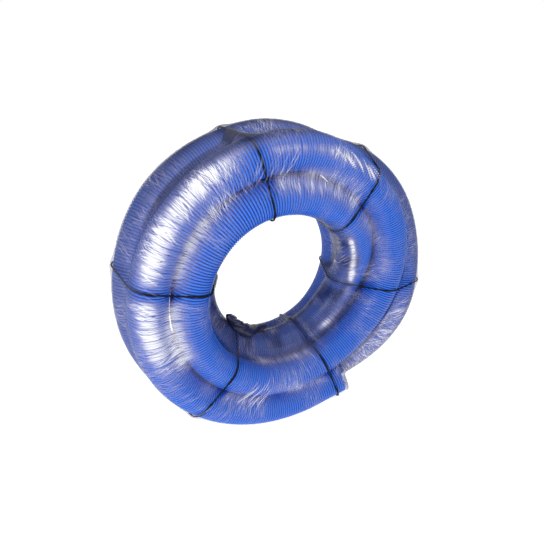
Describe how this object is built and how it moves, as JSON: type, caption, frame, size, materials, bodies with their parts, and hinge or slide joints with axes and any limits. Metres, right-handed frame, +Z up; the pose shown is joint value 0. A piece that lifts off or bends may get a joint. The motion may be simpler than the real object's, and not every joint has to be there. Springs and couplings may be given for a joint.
{
  "type": "coiled pool vacuum hose",
  "caption": "Ribbed swimming pool vacuum hose wound into a thick ring, tied with cord and wrapped in clear stretch film, standing on its rim.",
  "frame": {"origin": "on the floor under the middle of the coil, at the flat it stands on", "axes": "+Z up; the coil stands on its rim with its axis along Y; -Y is the front, where the hose's outer end shows at the lower right; +X is to the right seen from the front"},
  "size_m": [0.4348, 0.15, 0.4173],
  "materials": {
    "hose_plastic": "blue polyethylene, ribbed, satin gloss",
    "tie_cord": "black twisted twine, matte",
    "clear_film": "clear stretch film in several laps, glossy"
  },
  "bodies": {
    "root": {"hose": "hose_plastic", "tie_top": "tie_cord", "tie_upper_right": "tie_cord", "tie_right": "tie_cord", "tie_lower_right": "tie_cord", "tie_lower_left": "tie_cord", "tie_left": "tie_cord", "stretch_film": "clear_film"}
  },
  "joints": []
}
